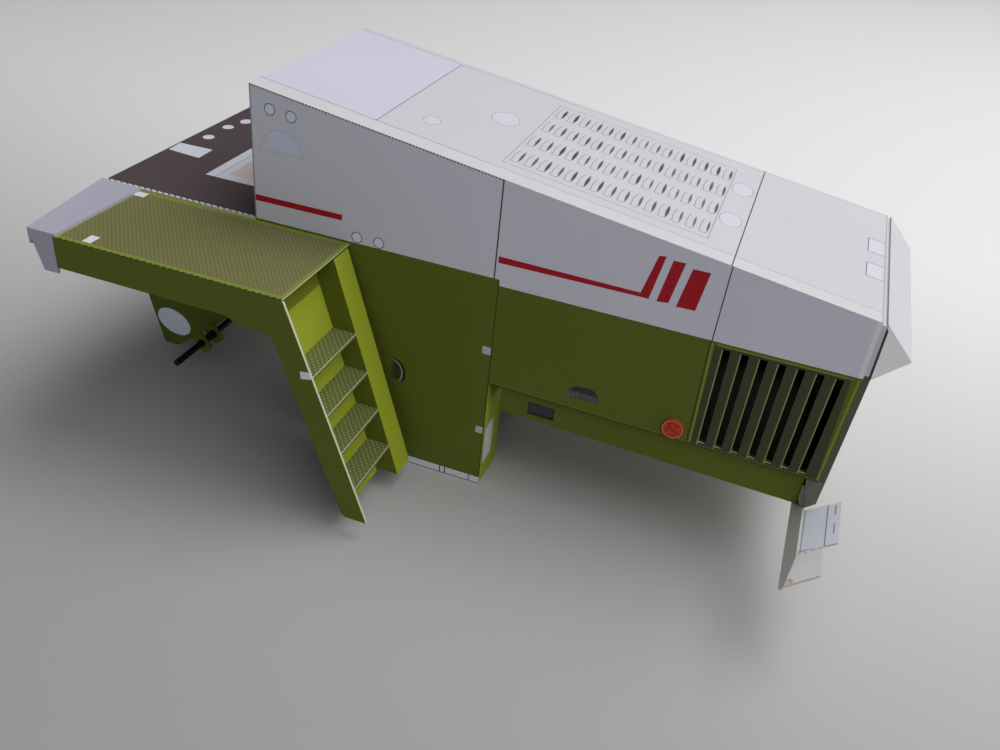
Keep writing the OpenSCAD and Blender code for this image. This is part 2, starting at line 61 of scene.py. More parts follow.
# Printed colours, linear, with some colours of painted shade and glow among them
WHITE = (0.60, 0.60, 0.64)
SIDE_WHITE = (0.67, 0.66, 0.75)
PAPER = (0.63, 0.63, 0.64)
TAB = (0.43, 0.42, 0.51)
TILE = (0.62, 0.61, 0.72)
BARE = (0.68, 0.67, 0.64)
GREEN = (0.112, 0.138, 0.011)
GREEN_EDGE = (0.22, 0.27, 0.04)
GREEN_DARK = (0.045, 0.058, 0.006)
GREEN_LIGHT = (0.33, 0.38, 0.025)
SLAT = (0.050, 0.062, 0.028)
PANEL = (0.10, 0.11, 0.07)
PANEL_FOOT = (0.165, 0.170, 0.140)
TREAD = (0.165, 0.160, 0.055)
STEP = (0.130, 0.155, 0.045)
BROWN = (0.085, 0.062, 0.066)
RED = (0.42, 0.008, 0.018)
INK = (0.045, 0.050, 0.075)
INK_SOFT = (0.28, 0.29, 0.34)
CREAM = (0.58, 0.58, 0.42)
ORANGE = (0.36, 0.03, 0.012)
BLACK = (0.006, 0.006, 0.006)
# Painted shade inside the bay: the rear panel's and the tray's inner faces
PANEL_INSIDE_SHADE = (0.02, 0.022, 0.016)
TRAY_INSIDE_SHADE = (0.02, 0.024, 0.012)
GREEN_CUT = (0.42, 0.46, 0.24)
LABEL = (0.66, 0.66, 0.74)
# Bare white card with a painted glow of light through thin paper, for flaps and gussets
FLAP_WHITE_AND_GLOW = (0.97, 0.97, 0.97)
# Painted shadow of the deck's rear edge on the ladder's rear faces
LADDER_REAR_SHADOW = (0.17, 0.20, 0.012)


class Card:
    """A printed card material. Marks are painted one after another, placed in millimetres."""

    def __init__(self, name, rough=0.6, bump=0.25):
        self.mat = bpy.data.materials.new(name)
        self.mat.use_nodes = True
        self.nt = self.mat.node_tree
        self.nt.nodes.clear()
        self.bsdf = self.add("BsdfPrincipled")
        out = self.add("OutputMaterial")
        self.nt.links.new(self.bsdf.outputs["BSDF"], out.inputs["Surface"])
        self.bsdf.inputs["Roughness"].default_value = rough
        self.bsdf.inputs["Specular IOR Level"].default_value = SPECULAR
        coord = self.add("TexCoord")
        sub = self.vec("SUBTRACT", coord.outputs["Object"], ORIGIN)
        self.p = self.vec("SCALE", sub, scale=1 / MM)
        sep = self.add("SeparateXYZ")
        self.link(self.p, sep.inputs[0])
        self.x, self.y, self.z = sep.outputs
        sep = self.add("SeparateXYZ")
        self.link(coord.outputs["Normal"], sep.inputs[0])
        self.nx, self.ny, self.nz = sep.outputs
        self.ay = self.op("ABSOLUTE", self.y)
        self.colour = None
        self.bump = bump

    def add(self, kind):
        return self.nt.nodes.new("ShaderNode" + kind)

    def link(self, value, socket):
        if hasattr(value, "is_output"):
            self.nt.links.new(value, socket)
        else:
            socket.default_value = value

    def op(self, kind, a, b=0.0, c=0.0):
        n = self.add("Math")
        n.operation = kind
        for value, socket in zip((a, b, c), n.inputs):
            self.link(value, socket)
        return n.outputs[0]

    def vec(self, kind, a, b=(0, 0, 0), scale=None):
        n = self.add("VectorMath")
        n.operation = kind
        self.link(a, n.inputs[0])
        if scale is None:
            self.link(b, n.inputs[1])
        else:
            self.link(scale, n.inputs["Scale"])
        return n.outputs["Value"] if kind == "DISTANCE" else n.outputs["Vector"]

    def noise(self, scale, detail=2.0):
        n = self.add("TexNoise")
        self.link(self.p, n.inputs["Vector"])
        n.inputs["Scale"].default_value = scale
        n.inputs["Detail"].default_value = detail
        return n.outputs["Fac"]

    def scatter(self, a, b):
        """A chance value from 0 to 1 for each whole pair a, b."""
        n = self.add("CombineXYZ")
        self.link(a, n.inputs[0])
        self.link(b, n.inputs[1])
        noise = self.add("TexWhiteNoise")
        noise.noise_dimensions = "2D"
        self.link(n.outputs[0], noise.inputs["Vector"])
        return noise.outputs["Value"]

    # Masks
    def all(self, *masks):
        result = masks[0]
        for m in masks[1:]:
            result = self.op("MULTIPLY", result, m)
        return result

    def any(self, *masks):
        result = masks[0]
        for m in masks[1:]:
            result = self.op("MAXIMUM", result, m)
        return result

    def between(self, u, low, high):
        return self.op("COMPARE", u, (low + high) / 2, (high - low) / 2)

    def above(self, u, low):
        return self.op("GREATER_THAN", u, low)

    def below(self, u, high):
        return self.op("LESS_THAN", u, high)

    def faces(self, normal, least=0.7):
        """Where the surface faces along that axis, either way."""
        return self.above(self.op("ABSOLUTE", normal), least)

    def dashes(self, u, length, share):
        """Dashes along u, each with its gap taking length, of which the ink takes share."""
        return self.below(self.op("FRACT", self.op("MULTIPLY", u, 1 / length)), share)

    def box(self, u, v, u0, u1, v0, v1):
        return self.all(self.between(u, u0, u1), self.between(v, v0, v1))

    def frame(self, u, v, u0, u1, v0, v1, w):
        """The outline of a rectangle, w wide, drawn inside it."""
        inner = self.box(u, v, u0 + w, u1 - w, v0 + w, v1 - w)
        return self.op("SUBTRACT", self.box(u, v, u0, u1, v0, v1), inner)

    def along(self, u, v, a, b):
        """Distance along and across the line from a to b."""
        du, dv = b[0] - a[0], b[1] - a[1]
        n = math.hypot(du, dv)
        c, s = du / n, dv / n
        t = self.op("MULTIPLY_ADD", u, c, -a[0] * c - a[1] * s)
        t = self.op("MULTIPLY_ADD", v, s, t)
        r = self.op("MULTIPLY_ADD", u, -s, a[0] * s - a[1] * c)
        r = self.op("MULTIPLY_ADD", v, c, r)
        return t, r, n

    def line(self, u, v, a, b, w, dash=0):
        t, r, n = self.along(u, v, a, b)
        m = self.all(self.between(t, 0, n), self.between(r, -w / 2, w / 2))
        if dash:
            m = self.all(m, self.dashes(t, dash, DASH_SHARE))
        return m

    def poly(self, u, v, points):
        """A convex polygon, its corners counter-clockwise in (u, v)."""
        masks = []
        for a, b in zip(points, points[1:] + points[:1]):
            masks.append(self.above(self.along(u, v, a, b)[1], 0))
        return self.all(*masks)

    def radius(self, u, v, centre, ru=1.0, rv=1.0):
        n = self.add("CombineXYZ")
        self.link(self.op("MULTIPLY", u, 1 / ru), n.inputs[0])
        self.link(self.op("MULTIPLY", v, 1 / rv), n.inputs[1])
        return self.vec("DISTANCE", n.outputs[0], (centre[0] / ru, centre[1] / rv, 0))

    def ring(self, u, v, centre, r, w):
        return self.op("COMPARE", self.radius(u, v, centre), r, w / 2)

    def disc(self, u, v, centre, ru, rv=None):
        return self.below(self.radius(u, v, centre, ru, rv or ru), 1.0)

    # Colour
    def paint(self, colour, mask=None):
        if mask is None:
            self.colour = colour
            return
        n = self.add("Mix")
        n.data_type = "RGBA"
        self.link(mask, n.inputs[0])
        for value, socket in ((self.colour, n.inputs[6]), (colour, n.inputs[7])):
            self.link((*value, 1) if isinstance(value, tuple) else value, socket)
        self.colour = n.outputs[2]

    def finish(self, fibre, cloud, speck=0.0):
        """Fibres, uneven print and a fine tooth over whatever was painted."""
        fine = self.noise(3.2, 3.0)
        wide = self.noise(0.045, 2.0)
        k = self.op("MULTIPLY_ADD", fine, fibre * 2, 1 - fibre)
        k = self.op("ADD", k, self.op("MULTIPLY_ADD", wide, cloud * 2, -cloud))
        if speck:
            dots = self.noise(9.0, 1.0)
            k = self.op("ADD", k, self.op("MULTIPLY_ADD", dots, speck * 2, -speck))
        colour = self.colour
        if isinstance(colour, tuple):
            n = self.add("RGB")
            n.outputs[0].default_value = (*colour, 1)
            colour = n.outputs[0]
        self.link(self.vec("SCALE", colour, scale=k), self.bsdf.inputs["Base Color"])
        n = self.add("Bump")
        n.inputs["Strength"].default_value = self.bump
        n.inputs["Distance"].default_value = TOOTH * MM
        height = self.op("ADD", self.noise(2.4, 4.0), self.op("MULTIPLY", wide, 2.0))
        self.link(height, n.inputs["Height"])
        self.link(n.outputs[0], self.bsdf.inputs["Normal"])
        return self.mat


def dress(material, *names):
    for name in names:
        o = nodes[name]
        o.data.materials.clear()
        o.data.materials.append(material)


# Hood: white card with printed seams, stripes, louvres and blank labels
def hood_print():
    c = Card("white_print", rough=0.55)
    up = c.above(c.nz, 0.5)
    side = c.faces(c.ny, 0.5)
    x, y, z = c.x, c.y, c.z

    # Roof
    c.paint(WHITE)
    c.paint(TILE, c.box(x, y, -22.1, 0, -20.6, 18.4))
    c.paint(PAPER, c.above(y, 18.9))
    dark = [
        c.line(x, y, (0, 18.4), (-44, 18.6), 0.2, dash=DASH),
        c.line(x, y, (0, -20.7), (-47, -21.2), 0.2, dash=DASH),
        c.line(x, y, (-22.1, 18.4), (-22.1, -20.7), 0.24, dash=DASH),
        c.line(x, y, (-85.6, -22.5), (-85.6, 22.5), 0.2),
    ]
    c.paint(INK, c.any(*dark))
    thin = [
        c.line(x, y, (-44, 18.6), (-109.7, 19.1), 0.12),
        c.line(x, y, (-47, -21.3), (-109.7, -21.9), 0.16, dash=0.7),
        c.frame(x, y, -80.6, -44.4, -18.2, 16.2, 0.14),
    ]
    c.paint(INK_SOFT, c.any(*thin))

    # Louvres: four rows, each cell with a thin rounded outline and a lens of uneven darkness
    pitch, count, row, first, edge = 2.385, 15, 8.6, -44.9, 18.4
    u = c.op("MULTIPLY_ADD", x, -1 / pitch, first / pitch)
    cell = c.op("MULTIPLY", c.op("FRACT", u), pitch)
    v = c.op("MULTIPLY_ADD", y, 1 / row, edge / row)
    w = c.op("MULTIPLY_ADD", c.op("FRACT", v), row, -row / 2)
    field = c.box(x, y, first - count * pitch, first, -edge, 4 * row - edge)
    chance = c.scatter(c.op("FLOOR", u), c.op("FLOOR", v))
    bow = c.op("MULTIPLY", c.op("MULTIPLY", w, w), 0.05)
    stem = c.all(c.between(w, -2.5, 2.2), c.between(c.op("SUBTRACT", cell, bow), 0.20, 0.36))
    bend = c.all(c.above(w, 2.1), c.op("COMPARE", c.radius(cell, w, (1.0, 2.1), 0.75, 0.8), 1.0, 0.13))
    c.paint((0.31, 0.31, 0.36), c.all(field, c.any(stem, bend)))
    lens = c.op("MULTIPLY_ADD", c.op("MULTIPLY", w, w), -0.040, c.op("MULTIPLY_ADD", chance, 0.10, 0.165))
    off = c.op("ABSOLUTE", c.op("SUBTRACT", cell, c.op("MULTIPLY_ADD", w, 0.03, 1.62)))
    near = c.between(w, -2.9, 2.7)
    c.paint((0.33, 0.33, 0.38), c.all(field, near, c.above(c.op("ADD", lens, 0.09), off)))
    ink = c.op("MULTIPLY_ADD", chance, 0.35, 0.65)
    c.paint((0.055, 0.055, 0.075), c.all(field, near, c.above(lens, off), ink))

    # Blank labels
    ovals = [((-29.0, 10.4), 1.4, 1.9), ((-38.6, -1.8), 2.5, 3.2),
             ((-82.9, -9.3), 1.9, 3.0), ((-82.85, 5.7), 1.9, 2.8)]
    for centre, ru, rv in ovals:
        c.paint((0.22, 0.23, 0.36), c.disc(x, y, centre, ru + 0.1, rv + 0.12))
        c.paint((0.64, 0.64, 0.71), c.disc(x, y, centre, ru, rv))
    for y0, y1 in ((-8.6, -2.6), (2.0, 7.7)):
        c.paint(LABEL, c.box(x, y, -109.1, -106.4, y0, y1))
        c.paint(INK, c.frame(x, y, -110.4, -106.4, y0, y1, 0.14))
    # Painted shade: a grey band along the roof's rear edge, where it folds down
    c.paint((0.42, 0.43, 0.41), c.below(x, -109.45))
    roof = c.colour

    # Sides: red stripes, seams and pencil circles
    c.paint(SIDE_WHITE)
    red = [
        c.poly(x, z, [(-17.75, 3.72), (-0.25, 3.55), (-0.25, 4.72), (-17.75, 4.85)]),
        c.poly(x, z, [(-73.9, 3.45), (-47.5, 3.15), (-47.5, 4.4), (-72.9, 4.2)]),
        c.poly(x, z, [(-73.9, 3.45), (-72.4, 4.2), (-74.2, 11.45), (-75.4, 11.6)]),
        c.poly(x, z, [(-77.2, 3.55), (-75.2, 3.35), (-76.6, 11.2), (-78.65, 11.25)]),
        c.poly(x, z, [(-81.7, 3.35), (-78.5, 3.25), (-79.9, 10.55), (-82.8, 10.6)]),
    ]
    c.paint(RED, c.any(*red))
    spots = ((-3.87, 21.1), (-8.0, 20.6), (-20.7, 1.15), (-25.0, 1.1))
    arch = (0.52, 0.55, 0.52)
    c.paint((0.76, 0.79, 0.94), c.any(*[c.disc(x, z, spot, 0.95) for spot in spots]))
    c.paint((0.11, 0.12, 0.22), c.any(*[c.ring(x, z, spot, 1.0, 0.17) for spot in spots]))
    c.paint((0.66, 0.68, 0.86), c.all(c.disc(x, z, (-6.2, 14.6), 2.9, 3.6), c.above(z, 14.3)))
    c.paint(arch, c.all(c.ring(x, z, (-6.0, 13.4), 4.3, 0.14), c.above(z, 13.6)))
    c.paint(arch, c.line(x, z, (-1.8, 13.5), (-10.2, 13.5), 0.14))
    under_roof = c.op("SUBTRACT", z, c.op("MULTIPLY_ADD", x, HOOD_DROP / HOOD_L, HOOD_H))
    fold = c.all(c.between(under_roof, -0.32, -0.05), c.dashes(x, DASH, DASH_SHARE), c.above(x, -47))
    c.paint((0.16, 0.16, 0.20), fold)
    c.paint((0.78, 0.78, 0.79), c.below(x, -108.9))
    c.paint(INK, c.any(
        c.line(x, z, (-85.5, -1.2), (-85.8, 12.7), 0.2), c.line(x, z, (-47.05, -1.2), (-47.05, 18.3), 0.26)))
    c.paint(INK_SOFT, c.line(x, z, (-0.12, 0), (-0.12, HOOD_H), 0.24))
    sides = c.colour

    # Folds and front and rear walls
    c.paint(WHITE)
    c.paint(roof, up)
    c.paint(sides, side)
    return c.finish(**PLAIN)


# Engine side: green panel, grey-green slats and bright printed borders
def engine_print():
    c = Card("green_grille", rough=0.58)
    x, z = c.x, c.z
    c.paint(GREEN)
    c.paint(SLAT, c.box(x, z, -108.2, -86.2, -22.8, -1.6))
    bright = [
        c.line(x, z, (-85.75, -1.6), (-86.05, -22.3), 0.3),
        c.line(x, z, (-109.3, -1.6), (-108.4, -22.6), 0.35),
        c.line(x, z, (-86, -1.75), (-108.4, -1.75), 0.25),
    ]
    c.paint(GREEN_EDGE, c.any(*bright))
    c.paint(GREEN, c.box(x, z, -108.6, -86.0, -1.62, -1.2))
    c.paint(GREEN_DARK, c.any(
        c.line(x, z, (-85.3, -1.2), (-85.55, -22.6), 0.28),
        c.line(x, z, (-86.3, -1.6), (-86.6, -22.3), 0.28)))
    # A pale line along the front of each of the seven slots, which fan out from foot to top: the pale cut edge with
    # painted highlight where the slot's front wall catches the light from behind
    slot_highlights = []
    for i in range(7):
        foot = -HOOD_L + 4.72 + i * 2.935
        top = -HOOD_L + 3.82 + i * 3.06
        slot_highlights.append(c.line(x, z, (foot, -22.3 + 0.02 * i), (top, -2.4), 0.22))
    c.paint((0.27, 0.32, 0.11), c.any(*slot_highlights))
    # Crease with a knurled line along the foot, which rises by 1.1 over 61.6, and painted shade in a dark band
    # along the crease
    rise = 1.1 / 61.6
    up = c.op("SUBTRACT", z, c.op("MULTIPLY_ADD", x, rise, -23.0 + rise * HOOD_L))
    c.paint((0.18, 0.22, 0.05), c.all(c.between(up, 0.25, 0.45), c.dashes(x, 0.625, 0.5)))
    # Painted shade: a dark band at the crease
    c.paint(GREEN_DARK, c.between(up, 0.0, 0.22))
    # Grip with rounded upper corners, dark above, grey below and fading at its foot
    grip_z, fade = -19.9, 1.7
    grip = c.all(c.above(z, grip_z), c.any(
        c.disc(x, z, (-65.0, -19.4), 2.0, 2.3), c.disc(x, z, (-66.9, -19.5), 2.0, 2.5),
        c.box(x, z, -66.9, -65.0, grip_z, -17.05)))
    grip = c.all(grip, c.op("MULTIPLY_ADD", z, fade, -grip_z * fade))
    c.paint((0.035, 0.036, 0.036), grip)
    low = c.below(c.op("MULTIPLY_ADD", x, -0.04, c.op("ADD", z, -2.64)), -18.35)
    c.paint((0.080, 0.080, 0.086), c.all(grip, low))
    c.paint((0.16, 0.16, 0.17), c.all(grip, low, c.above(c.noise(1.6), 0.58)))
    outside = c.colour
    # Pale cut edges all round, and painted shade, near black, on the inner faces, which show inside the slots and
    # the bay
    c.paint(GREEN_CUT)
    c.paint(outside, c.faces(c.ny))
    # Painted shade, near black, on the inner faces
    c.paint((0.018, 0.022, 0.008), c.below(c.ay, SIDE_Y - 0.45))
    return c.finish(**PRINTED)


def plain(name, colour, **grain):
    """Card of one colour."""
    c = Card(name)
    c.paint(colour)
    return c.finish(**grain)


# Door boxes: green with a handle, a white foot strip and blank labels
def box_print():
    c = Card("green_box", rough=0.58)
    x, z = c.x, c.z
    c.paint(GREEN)
    # The handle's recess is painted shade, dark at its rim and inside, fading to green towards the front, with a
    # painted highlight along its rear edge
    handle, foot, fade, front = (-28.6, -25.2), -26.85, 0.6, -28.0
    part = c.all(c.above(z, foot), c.op("MULTIPLY_ADD", x, -fade, front * fade))
    # Painted shadow: the dark rim and inside of the recess
    c.paint((0.026, 0.030, 0.008), c.all(c.disc(x, z, handle, 2.75, 3.25), part))
    inner = c.disc(x, z, handle, 1.85, 2.45)
    c.paint((0.045, 0.046, 0.018), c.all(inner, part))
    # Painted highlight: a light ring along the recess's rear edge
    c.paint((0.36, 0.37, 0.30), c.all(c.op("SUBTRACT", c.disc(x, z, handle, 2.12, 2.72), inner), part))
    c.paint((0.50, 0.50, 0.54), c.any(
        c.box(x, z, -47.9, -46.2, -15.7, -14.1), c.box(x, z, -47.9, -46.4, -33.7, -32.2)))
    strip = c.below(z, -44.45)
    c.paint((0.74, 0.74, 0.76), strip)
    ticks = c.any(c.between(x, -40.9, -40.65), c.between(x, -39.8, -39.55), c.between(x, -46.0, -45.8))
    c.paint(INK, c.any(c.between(z, -44.55, -44.38), c.below(z, -46.03), c.all(strip, ticks)))
    c.paint(GREEN_DARK, c.all(c.between(x, -48.1, -47.85), c.above(z, -44.4)))
    side = c.colour
    label = (16.6, 21.5, -42.0, -33.1)
    c.paint(GREEN_LIGHT)
    c.paint((0.66, 0.66, 0.67), c.box(c.ay, z, *label))
    c.paint(INK_SOFT, c.frame(c.ay, z, *label, 0.16))
    rear = c.colour
    c.paint(GREEN)
    c.paint(side, c.faces(c.ny))
    c.paint(rear, c.below(c.nx, -0.7))
    c.paint(BARE, c.faces(c.nz))
    return c.finish(fibre=0.12, cloud=0.13, speck=0.07)


# Cab floor: dark brown with blank glue marks
def floor_print():
    c = Card("brown_floor", rough=0.5)
    x, y = c.x, c.y
    c.paint(BROWN)
    marks = [
        c.poly(x, y, [(24.9, -1.1), (32.6, -0.8), (32.4, 3.5), (24.7, 4.2)]),
        c.disc(x, y, (29.7, -6.8), 1.2, 1.3), c.disc(x, y, (29.7, -14.2), 1.2, 1.3),
        c.disc(x, y, (28.4, -19.4), 1.2, 1.5),
        c.box(x, y, 0.8, 18.8, -6.2, 10.5),
    ]
    c.paint((0.66, 0.66, 0.72), c.any(*marks))
    c.paint(INK_SOFT, c.line(x, y, (16.6, -6.2), (16.6, 10.5), 0.16))
    c.paint((0.66, 0.53, 0.51), c.box(x, y, 2.5, 15.0, -4.0, 8.0))
    # Pale strip with slanting dashes beside the deck
    edge_w = 0.56
    edge_y = SIDE_Y - edge_w / 2
    edge = c.line(x, y, (0, edge_y), (32.9, edge_y), edge_w)
    c.paint((0.72, 0.72, 0.66), edge)
    slant = c.op("MULTIPLY_ADD", y, 0.9, c.op("MULTIPLY", x, 0.75))
    c.paint(INK, c.all(edge, c.dashes(slant, 1, 0.3)))
    top = c.colour
    c.paint(CREAM)
    c.paint(BARE, c.below(c.nz, -0.5))
    c.paint(top, c.above(c.nz, 0.5))
    return c.finish(fibre=0.12, cloud=0.10, speck=0.10)


# Tread plate: staggered light dots on grey green, with bright borders
def tread_print(name, deck):
    c = Card(name, rough=0.42, bump=0.3)
    x, y, z = c.x, c.y, c.z
    c.paint(TREAD if deck else STEP)
    # The rows are closer together than the dots in a row
    pitch, row_share = 0.86 if deck else 1.05, 0.62
    row = c.op("MULTIPLY", y, 1 / (pitch * row_share))
    shift = c.op("MULTIPLY", c.op("FLOORED_MODULO", c.op("FLOOR", row), 2.0), 0.5)
    u = c.op("SUBTRACT", c.op("FRACT", c.op("ADD", c.op("MULTIPLY", x, 1 / pitch), shift)), 0.5)
    v = c.op("SUBTRACT", c.op("FRACT", row), 0.5)
    dot = c.disc(u, v, (0, 0), 0.22, 0.26)
    dark = c.disc(u, v, (-0.2, -0.16), 0.24, 0.28)
    c.paint((0.150, 0.148, 0.050) if deck else (0.100, 0.122, 0.034), dark)
    c.paint((0.26, 0.255, 0.12) if deck else (0.27, 0.30, 0.14), dot)
    if deck:
        c.paint(GREEN_EDGE, c.any(
            c.between(y, SIDE_Y, SIDE_Y + 1.0), c.above(y, OUTER_Y - 1.0),
            c.below(x, -18.5), c.above(x, 24.6)))
        c.paint(GREEN_DARK, c.all(c.above(y, OUTER_Y - 0.26), c.dashes(x, 1.3, 0.6)))
        c.paint((0.74, 0.74, 0.80), c.any(c.box(x, y, 18.4, 20.2, 42.2, 44.8), c.box(x, y, 22.6, 25.4, 23.2, 25.0)))
    top = c.colour
    if deck:
        # The deck's front edge is pale above and green below, and its outer edge is a dashed green fold
        c.paint(CREAM)
        c.paint(GREEN, c.below(z, -0.68))
        fold = c.faces(c.ny)
        c.paint(GREEN, fold)
        c.paint(GREEN_DARK, c.all(fold, c.dashes(x, 0.9, 0.5), c.above(z, -0.62)))
    else:
        # A step's edges are dark, with a pale upper rim
        rise, top_step = 7.2, -14.1
        drop = c.op("MULTIPLY", c.op("FRACT", c.op("MULTIPLY_ADD", z, -1 / rise, top_step / rise)), rise)
        c.paint((0.12, 0.13, 0.05))
        c.paint((0.46, 0.49, 0.30), c.below(drop, 0.2))
    c.paint(BARE, c.below(c.nz, -0.6))
    c.paint(top, c.above(c.nz, 0.6))
    return c.finish(**PRINTED)


# Front housing: green, with a blank round glue mark on each leaning cheek
def housing_print():
    c = Card("green_housing", rough=0.58)
    c.paint(GREEN)
    slope = 1 / math.cos(math.radians(14.5))
    v = c.op("MULTIPLY", c.z, slope)
    centre, radius = (27.9, -35.3 * slope), 4.0
    c.paint((0.88, 0.93, 1.0), c.all(c.disc(c.x, v, centre, radius), c.faces(c.ny)))
    c.paint((0.35, 0.38, 0.52), c.all(c.ring(c.x, v, centre, radius, 0.16), c.faces(c.ny)))
    return c.finish(**PRINTED)


# Lamp bar: grey strip with a dark crease and a painted highlight along its lit fold, and bare flaps painted near
# white, with a painted glow of light through the thin paper, and a few printed lines
def lamp_print():
    c = Card("white_lamp_bar", rough=0.55)
    x, ay = c.x, c.ay
    c.paint((0.17, 0.17, 0.155))
    # Painted highlight: a pale band along the lit fold at the strip's rear
    c.paint((0.55, 0.55, 0.53), c.below(x, -107.75))
    c.paint(INK, c.all(c.below(x, -107.9), c.below(ay, 22.8)))
    strip = c.colour
    # Flaps: bare white card painted near white, with a painted glow of light through the thin paper
    c.paint(FLAP_WHITE_AND_GLOW)
    c.paint((0.88, 0.89, 0.99), c.below(ay, 33.85))
    c.paint((0.22, 0.24, 0.36), c.any(
        c.line(x, ay, (-111.5, 23.0), (-111.5, 33.8), 0.15),
        c.line(x, ay, (-112.6, 23.4), (-112.6, 33.4), 0.15, dash=5.0)))
    c.paint((0.36, 0.38, 0.46), c.box(x, ay, -108.34, -108.2, 22.6, 33.8))
    # Part of a round orange lamp at the tip
    c.paint((0.93, 0.76, 0.67), c.disc(x, ay, (-106.9, 42.6), 0.9, 1.3))
    c.paint((0.72, 0.42, 0.28), c.op("COMPARE", c.radius(x, ay, (-106.9, 42.5), 0.5, 0.9), 1.0, 0.2))
    c.paint(INK_SOFT, c.line(x, ay, (-107.9, 34.9), (-111.6, 34.9), 0.16, dash=0.9))
    flap = c.colour
    c.paint(PAPER)
    c.paint(strip, c.above(c.nz, 0.9))
    c.paint(flap, c.all(c.above(c.nx, 0.3), c.above(c.nz, 0.3)))
    c.paint((0.40, 0.40, 0.40), c.below(c.nz, -0.9))
    return c.finish(fibre=0.05, cloud=0.04)


# Rear panel: grey green outside, painted shade inside, near black and dark green at the foot, its foot's sides grey
def panel_print():
    c = Card("rear_panel_print", rough=0.58)
    c.paint(PANEL)
    foot = c.below(c.z, -23.2)
    front = c.above(c.nx, 0.2)
    c.paint(PANEL_FOOT, foot)
    c.paint(PANEL, c.all(foot, c.below(c.nx, -0.5), c.above(c.z, -28.0)))
    # Painted shade, near black on the inner faces and dark green on the foot's inner front
    c.paint(PANEL_INSIDE_SHADE, c.all(c.below(c.ay, 21.6), c.any(front, c.faces(c.ny))))
    c.paint(GREEN_DARK, c.all(c.below(c.ay, 22.2), foot, front))
    return c.finish(fibre=0.10, cloud=0.06, speck=0.04)


# Chassis tray: green outside, painted shade in the engine bay, near black and dark green on the faces towards the
# rear
def tray_print():
    c = Card("green_tray", rough=0.58)
    c.paint(GREEN)
    inside = c.below(c.ay, 21.2)
    # Painted shade on the inner faces of the engine bay
    c.paint(TRAY_INSIDE_SHADE, c.all(inside, c.any(c.above(c.nz, 0.7), c.faces(c.ny))))
    c.paint(GREEN_DARK, c.all(inside, c.below(c.nx, -0.7)))
    return c.finish(**PRINTED)


# Apron: bare white card, its gussets painted paler than the printed sheets, with a painted glow of light through
# the thin paper
def apron_print():
    c = Card("white_apron", rough=0.55)
    c.paint(WHITE)
    # Gussets: white card painted brighter, with a painted glow of light through the thin paper
    c.paint(FLAP_WHITE_AND_GLOW, c.all(c.faces(c.ny), c.below(c.x, -110.6)))
    return c.finish(**PLAIN)


# Round markers: orange, with a mottled middle and a lighter ring
def marker_print():
    c = Card("orange_marker", rough=0.35)
    c.paint(ORANGE)
    centre = (-82.7, -20.2)
    c.paint((0.60, 0.05, 0.016), c.all(c.disc(c.x, c.z, centre, 1.5), c.above(c.noise(1.4), 0.5)))
    c.paint((0.70, 0.22, 0.06), c.ring(c.x, c.z, centre, 1.75, 0.2))
    c.paint((0.60, 0.10, 0.03), c.below(c.ay, SIDE_Y + 0.35))
    return c.finish(fibre=0.12, cloud=0.10)


# Outer panels: green with pale cut edges, green front folds and one blank label on the ladder's stringer
def skirt_print():
    c = Card("green_card", rough=0.6)
    c.paint(CREAM)
    c.paint(GREEN, c.any(c.faces(c.ny), c.all(c.above(c.nx, 0.7), c.above(c.x, 20))))
    label = c.poly(c.x, c.z, [(-24.24, -14.4), (-22.3, -14.8), (-22.15, -13.3), (-24.15, -13.0)])
    c.paint((0.80, 0.80, 0.86), c.all(label, c.faces(c.ny)))
    return c.finish(**PRINTED)


# Front tab: bare card with a dotted line along it
def tab_print():
    c = Card("white_tab", rough=0.55)
    c.paint(TAB)
    c.paint(INK_SOFT, c.all(c.line(c.x, c.y, (26.9, 43.7), (26.4, 29.0), 0.16, dash=0.7), c.above(c.nz, 0.7)))
    return c.finish(**PLAIN)


# Ladder: light green on the faces towards the rear, with a band of painted shadow above the given height where the
# deck's rear edge shades them, the common green elsewhere
def ladder_print(name, shadow_foot):
    c = Card(name, rough=0.6)
    c.paint(GREEN)
    rear = c.below(c.nx, -0.5)
    # Painted shadow on the faces towards the rear, above the given height
    c.paint(LADDER_REAR_SHADOW, rear)
    c.paint(GREEN_LIGHT, c.all(rear, c.below(c.z, shadow_foot)))
    return c.finish(**PRINTED)


# Axle rod: black wire
def rod_paint():
    c = Card("black_rod", rough=0.4, bump=0.1)
    c.paint(BLACK)
    return c.finish(fibre=0.3, cloud=0.2)


dress(hood_print(), "tall_hood", "rear_hood")
dress(engine_print(), "engine_side_left", "engine_side_right")
dress(box_print(), "door_box_left", "door_box_right")
dress(floor_print(), "cab_floor")
dress(tread_print("tread_deck", True), "left_deck")
dress(tread_print("tread_steps", False), "tread_1", "tread_2", "tread_3", "tread_4")
dress(housing_print(), "front_housing")
dress(lamp_print(), "lamp_bar")
dress(marker_print(), "marker_left", "marker_right")
dress(rod_paint(), "axle_rod")
dress(apron_print(), "rear_apron")
dress(panel_print(), "rear_panel")
dress(tray_print(), "chassis_tray")
dress(tab_print(), "front_tab")
dress(skirt_print(), "left_skirt", "right_skirt")
dress(plain("green_sheet", GREEN, **PRINTED),
      "base_sheet", "axle_ear_left", "axle_ear_right", "hub_left", "hub_right")
# Painted shadow of the deck's rear edge on the ladder's back sheet, down to 6.3 below the deck's top
dress(ladder_print("green_stringer", 0), "inner_stringer")
dress(ladder_print("green_ladder_back", -6.3), "ladder_back")


